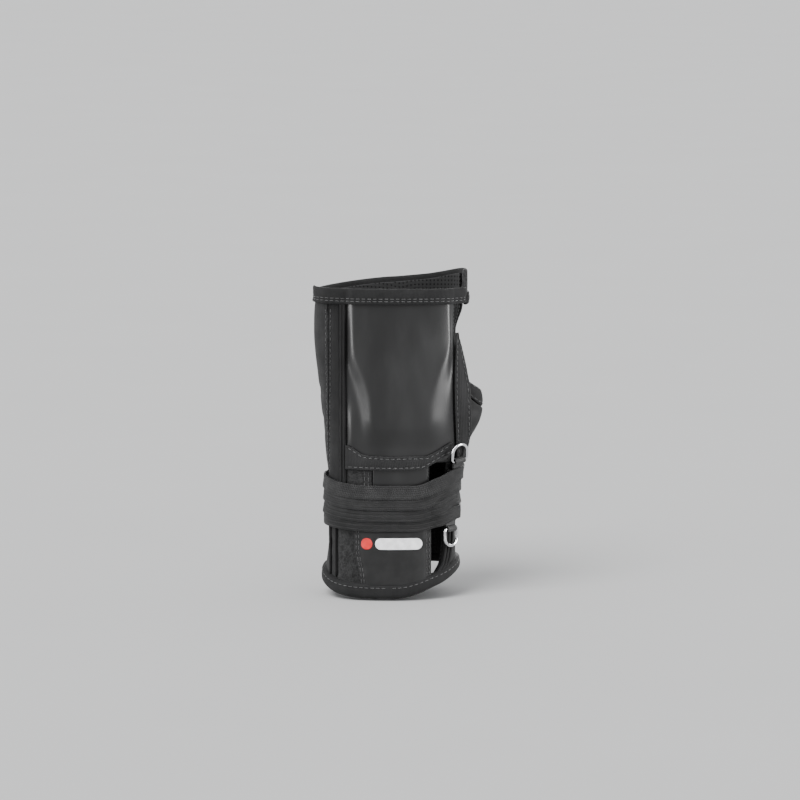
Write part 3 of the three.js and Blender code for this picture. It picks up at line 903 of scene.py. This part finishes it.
def across_palm(rows):
    """A height that follows a table of x across the palm, with x taken at the crossband's height."""
    curve = along(rows)
    return lambda angle: curve(place(angle, CROSSBAND_HEIGHT, OVERLAY[0])[..., 0])


cloth(
    "plate_crossband", palm_edge(-27.4, OVERLAY[0]), palm_edge(35.6, OVERLAY[0]),
    across_palm([(-27, 5), (18, 5.4), (26, 9.5), (35, 15)]),
    across_palm([(-27, 19.5), (-16, 14), (19, 13.4), (27, 17), (35, 23)]),
    OVERLAY, jersey, "hand", seams=(("low", 1.6), ("high", 1.4)), ripple=0.12,
)


# The hem stands out as far as the crown does at this height.
HEM_FOOT = 104
# The hem comes down to the cloth where the web strap starts.
HEM_END = {"angle": 336, "spread": 14, "drop": 1.1}


def hem_lift(angle):
    drop = HEM_END["drop"] * smoothstep((angle - HEM_END["angle"]) / HEM_END["spread"])
    return crown_at(angle, HEM_FOOT) - drop


def over_crown(depths):
    return tuple(lambda angle, z, depth=depth: depth + hem_lift(angle) for depth in depths)


palm_hem = cloth(
    "finger_hem_palm", 180.8, 352, 103.4, 113, over_crown((3.7, 5.5)), binding, "hand",
    seams=(("low", 2.0), ("low", 3.5)), edge=1.6, ripple=0.25, loose=0.01, lift=0.8,
)
back_hem = cloth(
    "finger_hem_back", 9.5, 179.8, shifted(back_top, -6.3), shifted(back_top, 2),
    (PANEL[0] - 0.4, 4.6), binding, "hand", seams=(("low", 1.8),), edge=1.6, ripple=0.2,
)
web_top = along([(344, 112.5), (350, 115.5), (358, 122.5), (368.8, 122.6)])
cloth(
    "web_strap", 344, 370, 107, web_top, (1.3, 4.0), brushed, "hand",
    seams=(("left", 1.4), ("right", 1.4)), edge=1.2, ripple=0.2,
)
cloth(
    "web_strap_fold", 349.6, 368.8, 102, 110, (1.5, 5.4), binding, "hand",
    seams=(("low", 1.5), ("high", 1.5)), edge=1.5, ripple=0.2,
)
cloth(
    "radial_border", palm_edge(border_left, OVERLAY[0]), palm_edge(border_right, OVERLAY[0]), 4, 86,
    OVERLAY, jersey, "wrist", seams=(("left", 1.3), ("right", 1.6), ("right", 3.0)), ripple=0.12,
)
gusset_top = along([(318, 50), (334, 43.5), (350, 40.5), (368, 41), (387, 45)])
gusset = cloth(
    "thumb_gusset", shifted(thumb_hole_palm, -3), 387, 5.2, gusset_top,
    (0.4, PANEL[1]), neoprene, "wrist", loose=0.025, lift=1.6, ripple=0.3,
)
band_top = along([(318, 62), (334, 54), (350, 50), (368, 50.3), (387, 54)])
cloth(
    "thumb_band", shifted(thumb_hole_palm, -2), 387, shifted(gusset_top, 0.5), band_top,
    (0.2, PANEL[1] + 0.5), binding, "hand",
    seams=(("low", 1.6), ("high", 1.6)), edge=1.5, ripple=0.25,
)

# ---- the stretch gusset and the cuff ----

slit_thumb_x = along([(-62, 23.6), (-58, 26), (-52, 29.6), (-40, 31.4), (-20, 32), (12, 33.6)])
slit_thumb = palm_edge(slit_thumb_x)
SLIT_PALM_X = 23
slit_back = shifted(slit_thumb, -360)

cloth(
    "wrist_gusset", slit_back, palm_edge(SLIT_PALM_X), 0.2 - LINING_GAP, LINING_GAP - 0.2,
    LINING, elastic, "wrist", edge=0.5,
)

hem_top = along(
    [(-90, -63.5), (-50, -57), (0, -50), (90, -52), (180, -56.5), (225, -62.4), (270, -63.5), (310, -57),
     (360, -50), (400, -50)]
)
hem_height = along([(-90, 9), (0, 7.5), (180, 8.5), (270, 9), (360, 7.5)])
# Where the cuff's sheets end, inside the fold of the hem.
inside_hem = shifted(hem_top, -1.8)

cloth(
    "cuff_lining", slit_back, palm_edge(SLIT_PALM_X), inside_hem, -LINING_GAP,
    LINING, spacer_mesh, "cuff", edge=0.5,
)
CUFF_FRONT = along([(-8.4, -33), (-6.7, -26.9)])
cloth(
    "cuff_palm_panel", palm_edge(CUFF_FRONT), palm_edge(-12.1), inside_hem, 6.4, PANEL, brushed, "wrist",
    seams=(("right", 2.0), ("right", 4.4)), ripple=0.1,
)
pocket_left = along([(-62, -19), (-41, -22), (-6, -22)])
pocket = cloth(
    "tongue_pocket", palm_edge(pocket_left, OVERLAY[0]), palm_edge(SLIT_PALM_X, OVERLAY[0]), inside_hem, -5,
    OVERLAY, neoprene, "cuff", seams=(("left", 1.3), ("left", 2.9), ("right", 1.6), ("right", 3.2)),
    loose=0.02, lift=0.7, ripple=0.15,
)
cloth(
    "cuff_ulnar_panel", 150, palm_edge(-33.4), inside_hem, MEET - 0.4, PANEL, jersey, "cuff",
    loose=0.02, lift=0.5, ripple=0.15,
)
for name, x in (("ulnar_piping_front", -33.6), ("ulnar_piping_side", -37.0)):
    cord(name, x, -60.5, -6, 4.1, 0.9, binding, "cuff", stands_for=name)
cuff_back = cloth(
    "cuff_back_panel", 21, 149.4, inside_hem, MEET_BACK - 0.3, over_pocket(PANEL), neoprene, "cuff",
    loose=0.02, lift=0.5, ripple=0.15,
)
cuff_side = cloth(
    "cuff_radial_panel", slit_thumb, 380.4, inside_hem, along([(300, 4), (350, 3), (380, MEET_BACK)]),
    PANEL, neoprene, "cuff", loose=0.02, lift=0.5, ripple=0.15,
)
for number, shift in enumerate((0.9, 2.6, 4.3)):
    cord(
        f"slit_binding_{number}", shifted(slit_thumb_x, shift),
        -61 + 1.2 * number, 3, 4.1, 0.95, binding, "cuff", stands_for="slit_binding",
    )
hem = cloth(
    "cuff_hem", -90, 270, lambda angle: hem_top(angle) - hem_height(angle), hem_top, (0.3, 6.4), binding,
    "cuff", seams=(("high", 2.4),), edge=2.4, ripple=0.3, closed=True,
)

# A plain printed bar and dot stand where the real guard has its mark. Their faces' depths are from
# the pocket's surface.
PRINT = (-0.1, 0.14)
BADGE = {"z": -39.4, "half": 3.4}


def round_end(x, inwards):
    def edge(z):
        off = np.clip((z - BADGE["z"]) / BADGE["half"], -1, 1)
        return x + inwards * BADGE["half"] * (1 - np.sqrt(1 - off**2))

    return palm_edge(edge, OVERLAY[1])


for name, left, right, look in (
    ("badge_bar", -10, 18, white_print), ("badge_dot", -18.4, -11.6, red_print),
):
    cloth(
        name, round_end(left, 1), round_end(right, -1), BADGE["z"] - BADGE["half"],
        BADGE["z"] + BADGE["half"], PRINT, look, "cuff", edge=0.3, step=0.9, stands_for="badge",
        lies_on=pocket,
    )

# ---- the strap ----

STRAP = {
    "half": 4.15, "first": 153, "last": 1497.2, "step": 2, "tab_height": -41, "rim": 0.5, "run_depth": 6,
}
# Angles past its start at which rows of stitches hold it to the cuff.
STRAP_TACKS = (3, 8)
STRAP_LAYER = (5.9, 6.8)
# Each turn leans over the next one, but for the last turn, which comes to lie flat from 330 to 270
# degrees before its end.
SHINGLE = {"lean": 0.65, "until": 330, "fade": 60}
TENSION = 0.12
CORD_RELIEF = {"height": 0.05, "pitch": 1.3}
# Each turn's height on the palm and on the thumb side, and its rise to the little-finger side.
STRAP_TURNS = [(-8.3, 3.2, 4.5), (-15.2, -5.0, 3.8), (-22.3, -13.2, 3.1), (-28.2, -21.4, 2.0)]
strap_rows = []
for turn, (palm, thumb, rise) in enumerate(STRAP_TURNS):
    start = 360 * turn
    strap_rows += [
        (start + 146, palm + rise), (start + 180, palm + rise), (start + 225, palm + 1),
        (start + 255, palm), (start + 285, palm), (start + 312, lerp(palm, thumb, 0.45)),
        (start + 338, lerp(palm, thumb, 0.95)), (start + 372, thumb - 1.2),
    ]
strap_rows += [(STRAP["last"], STRAP["tab_height"]), (STRAP["last"] + 60, STRAP["tab_height"])]
strap_middle = along(strap_rows)

OVER_TAB = {"angle": 327, "spread": 13, "z": -26, "reach": 7, "lift": 2.2}


def strap_lift(angle, z):
    """How far the strap rises over the lower ring's tab."""
    around = np.abs(turned(angle, OVER_TAB["angle"])) / OVER_TAB["spread"]
    up = np.abs(z - OVER_TAB["z"]) / OVER_TAB["reach"]
    return OVER_TAB["lift"] * smoothstep(2 - around) * smoothstep(2 - up)


def elastic_strap():
    """One ribbon wound four times, with each turn's lower edge over the next turn's upper edge."""
    angle = np.arange(STRAP["first"], STRAP["last"], STRAP["step"])
    middle = strap_middle(angle)
    rise = strap_middle(angle + 1) - strap_middle(angle - 1)
    ahead, behind = (place(angle + turn, middle, STRAP["run_depth"]) for turn in (1, -1))
    run = np.linalg.norm(ahead - behind, axis=1)
    slant = run / np.sqrt(np.maximum(run**2 - rise**2, 0.5 * run**2))
    side = spaced(2 * STRAP["half"], 0.8)[:, None] * 2 - 1
    z = middle + side * STRAP["half"] * slant
    last_turn = smoothstep((angle - (STRAP["last"] - SHINGLE["until"])) / SHINGLE["fade"])
    shingle = -SHINGLE["lean"] * side * (1 - last_turn)
    tension = TENSION * np.sin(angle / 9 + 2 * side) * np.sin(angle / 31)
    depth = (STRAP_LAYER[0] + STRAP_LAYER[1]) / 2 + strap_lift(angle, middle) + shingle + tension
    thick = (STRAP_LAYER[1] - STRAP_LAYER[0]) / 2
    rim = rounded((1 - np.abs(side)) * STRAP["half"] / STRAP["rim"])
    cords = CORD_RELIEF["height"] * np.cos(side * STRAP["half"] * 2 * math.pi / CORD_RELIEF["pitch"])
    spread_angle = np.broadcast_to(angle, z.shape)
    outer = place(spread_angle, z, depth + (thick + cords) * rim)
    inner = place(spread_angle, z, depth - thick * rim)
    flat = np.stack([distances(outer, 1), distances(outer, 0)], -1)
    strap = attach(shell("elastic_strap", outer, inner, flat, elastic), "cuff")
    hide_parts("elastic_strap")
    columns = np.searchsorted(angle, STRAP["first"] + np.array(STRAP_TACKS))
    tacks = [(outer[3:-3, i], outward(spread_angle, z)[3:-3, i]) for i in columns]
    stitch_mesh("elastic_strap_tacks", tacks, "cuff")


elastic_strap()

TAB = {"from": 56.5, "to": 118, "low": -48.5, "high": -33.5, "depth": 5.4}
cloth(
    "loop_patch", TAB["from"] + 3, TAB["to"] + 8, TAB["low"] + 1, TAB["high"] - 1,
    (TAB["depth"] - 0.2, TAB["depth"] + 0.8), brushed, "cuff", edge=0.5, seams=(("right", 1.3),),
)
cloth(
    "hook_patch", TAB["from"] + 6, TAB["to"] - 6, TAB["low"] + 1.5, TAB["high"] - 1.5,
    (TAB["depth"] + 1.2, TAB["depth"] + 2.1), hook_tape, "strap_end", edge=0.3,
)
cloth(
    "pull_tab", TAB["from"], TAB["to"], TAB["low"], TAB["high"],
    (TAB["depth"] + 2.4, TAB["depth"] + 3.7), webbing, "strap_end", edge=0.6,
    seams=(
        ("low", 1.6), ("high", 1.6), ("left", 1.6), ("left", 3.4), ("right", 1.6), ("right", 8),
    ),
)

# ---- the D-rings and their webbing tabs ----

# Webbing that goes round the ring's bar, with one tail on the other. Both tails start behind the bar
# at foot, the upper one by lag further back, and end at tail.
RING_TAB = {
    "bar": 1.2, "thick": 0.7, "width": 7.6, "rim": 0.4, "gap": 0.04, "foot": 0.6, "lag": 1.1, "tail": 5,
    "points": 8,
}


def ring_frame(ring):
    """The middle of the bar, and the ways along it, towards the bow and out of the ring's plane."""
    joint = joints[ring + "_ring_swing"]
    bar, x = Vector(joint["pos_m"]) / MM, Vector(joint["axis"]).normalized()
    low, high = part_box(ring + "_d_ring")
    y = (low + high) / 2 / MM - bar
    y = (y - x * y.dot(x)).normalized()
    return np.array(bar), np.array([x, y, x.cross(y)])


D_RING = {"wire": 0.9, "width": 10.6, "height": 10.4, "corner": 1.6, "sides": 16}
WELD = {"swell": 0.07, "half": 0.8}


def d_ring(ring):
    """A D bent from round wire, with the butt weld in the middle of its bar."""
    bar, axes = ring_frame(ring)
    half, corner = D_RING["width"] / 2, D_RING["corner"]
    bend, bow = np.radians(np.linspace(-90, 0, 9)), np.radians(np.linspace(0, 180, 49))
    centre = D_RING["height"] - half
    right = np.stack([half - corner + corner * np.cos(bend), corner + corner * np.sin(bend)], -1)
    over = np.stack([half * np.cos(bow), centre + half * np.sin(bow)], -1)
    left = right[::-1] * [-1, 1]
    foot = np.linspace(corner - half, half - corner, 9)[1:-1]
    line = np.concatenate([right, over, left, np.stack([foot, 0 * foot], -1)])
    ahead = np.roll(line, -1, 0) - np.roll(line, 1, 0)
    ahead /= np.linalg.norm(ahead, axis=1, keepdims=True)
    out = np.stack([ahead[:, 1], -ahead[:, 0]], -1)
    on_bar = line[:, 1] < D_RING["wire"] / 2
    weld = 1 + WELD["swell"] * np.exp(-((line[:, 0] / WELD["half"]) ** 2)) * on_bar
    turn = np.radians(np.arange(D_RING["sides"]) * 360 / D_RING["sides"])
    radius = (D_RING["wire"] * weld)[:, None]
    flat = line[:, None] + (radius * np.cos(turn))[..., None] * out[:, None]
    # The bow lies in the plane of the first two ways, and the wire's section leaves it by the third.
    rise = np.broadcast_to(radius * np.sin(turn), flat.shape[:2])
    points = bar + flat[..., :1] * axes[0] + flat[..., 1:] * axes[1] + rise[..., None] * axes[2]
    ids = np.arange(points.size // 3).reshape(-1, D_RING["sides"])
    faces = quads(np.pad(ids, (0, 1), mode="wrap")).reshape(-1, 4)
    corners = np.zeros((len(faces), 4, 2))
    wire = make_object(ring + "_ring_wire", points.reshape(-1, 3), faces, corners, steel)
    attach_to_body(wire, ring + "_ring")
    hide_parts(ring + "_d_ring")


def ring_tab(ring, body):
    """Webbing folded round the ring's bar, with both tails sewn down behind it."""
    bar, axes = ring_frame(ring)
    radius = RING_TAB["bar"] + RING_TAB["thick"] / 2
    upper = -radius + RING_TAB["thick"] + RING_TAB["gap"]
    bend = np.radians(np.linspace(-90, 200, 30))
    tail = np.linspace(-RING_TAB["tail"], -RING_TAB["foot"], RING_TAB["points"])
    line = np.concatenate([
        np.stack([tail, 0 * tail - radius], -1),
        np.stack([np.cos(bend), np.sin(bend)], -1) * radius,
        np.stack([tail[::-1] - RING_TAB["lag"], 0 * tail + upper], -1),
    ])
    # The upper tail comes down to the lower one over its first four points.
    line[-8:-4, 1] = lerp(line[-9, 1], upper, smoothstep(np.linspace(0.3, 1, 4)))
    line = line[line[:, 0] >= -RING_TAB["tail"]]
    ahead = np.gradient(line, axis=0)
    out = np.stack([ahead[:, 1], -ahead[:, 0]], -1)
    out /= np.linalg.norm(out, axis=1, keepdims=True)
    side = spaced(RING_TAB["width"], 0.7)
    across = (side - 0.5) * RING_TAB["width"]
    rim = rounded((0.5 - np.abs(side - 0.5)) * RING_TAB["width"] / RING_TAB["rim"])
    ends = np.minimum(np.arange(len(line)), np.arange(len(line))[::-1])
    half = RING_TAB["thick"] / 2 * rim[:, None] * smoothstep((ends + 0.6) / 2)

    def grid(sign):
        profile = line + sign * half[..., None] * out
        places = across[:, None, None] * axes[0] + profile[..., :1] * axes[1] + profile[..., 1:] * axes[2]
        return bar + places

    outer, inner = grid(1), grid(-1)
    flat = np.stack([distances(outer, 1), distances(outer, 0)], -1)
    tab = attach(shell(ring + "_ring_tab", outer, inner, flat, webbing), body)
    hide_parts(ring + "_ring_tab")


for ring, body in (("upper", "hand"), ("lower", "cuff")):
    ring_tab(ring, body)
    d_ring(ring)

# ---- the studio ----


FLOOR_SIZE = 60
# The world's strength as a light, and where it is seen past the floor. The second is the floor's own
# brightness, so that no horizon shows.
WORLD = {"colour": (0.98, 0.99, 1, 1), "light": 0.7, "seen": 0.96}
SUN_SPREAD = 35
STRIP = {"width": 0.55, "height": 1.1}
LIGHTS_AIM = Vector((0, 0, 0.03))


def studio():
    """A pale floor and a background of the same tone, a soft sun, two side strips and one behind."""
    low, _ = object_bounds()
    bpy.ops.mesh.primitive_plane_add(size=FLOOR_SIZE, location=(0, 0, low[2] - MM))
    floor = bpy.context.object
    floor.name = "studio_floor"
    floor.data.materials.append(floor_look().material)
    floor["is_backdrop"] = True
    # The strips are there for the gleams on the guard, and would leave pools of light on the floor.
    kept_dark = bpy.data.collections.new("not_lit_by_the_strips")
    kept_dark.objects.link(floor)
    kept_dark.collection_objects[0].light_linking.link_state = "EXCLUDE"
    world = bpy.data.worlds.new("studio")
    bpy.context.scene.world = world
    world.use_nodes = True
    tree = world.node_tree
    background = tree.nodes["Background"]
    background.inputs["Color"].default_value = WORLD["colour"]
    seen = add_node(tree, "LightPath").outputs["Is Camera Ray"]
    strength = add_node(tree, "MapRange", Value=seen, To_Min=WORLD["light"], To_Max=WORLD["seen"])
    tree.links.new(strength.outputs["Result"], background.inputs["Strength"])
    for name, kind, location, power in (
        ("sun", "SUN", (-0.9, -1.2, 2.0), 2.1),
        ("strip_left", "AREA", (-1.2, -0.35, 0.35), 30),
        ("strip_right", "AREA", (1.15, -0.5, 0.3), 44),
        ("strip_back", "AREA", (0.35, 1.5, 0.7), 34),
    ):
        light = bpy.data.lights.new(name, kind)
        light.energy = power
        lamp = add_to_scene(name, light)
        if kind == "SUN":
            light.angle = math.radians(SUN_SPREAD)
        else:
            light.shape = "RECTANGLE"
            light.size, light.size_y = STRIP["width"], STRIP["height"]
            lamp.light_linking.receiver_collection = kept_dark
        lamp.location = location
        lamp.rotation_euler = (LIGHTS_AIM - lamp.location).to_track_quat("-Z", "Y").to_euler()


# The view is along +Y from a little above, through a long lens. Lengths are in metres.
VIEW = {"distance": 2.4, "elevation": 8, "frame_height": 0.48, "middle": (0.0048, 0, 0.0438)}


def camera():
    data = bpy.data.cameras.new("camera")
    data.lens = data.sensor_width * VIEW["distance"] / VIEW["frame_height"]
    eye = add_to_scene("camera", data)
    raised = math.radians(VIEW["elevation"])
    back = Vector((0, -math.cos(raised), math.sin(raised)))
    eye.location = Vector(VIEW["middle"]) + back * VIEW["distance"]
    eye.rotation_euler = (-back).to_track_quat("-Z", "Y").to_euler()
    bpy.context.scene.camera = eye


studio()
camera()
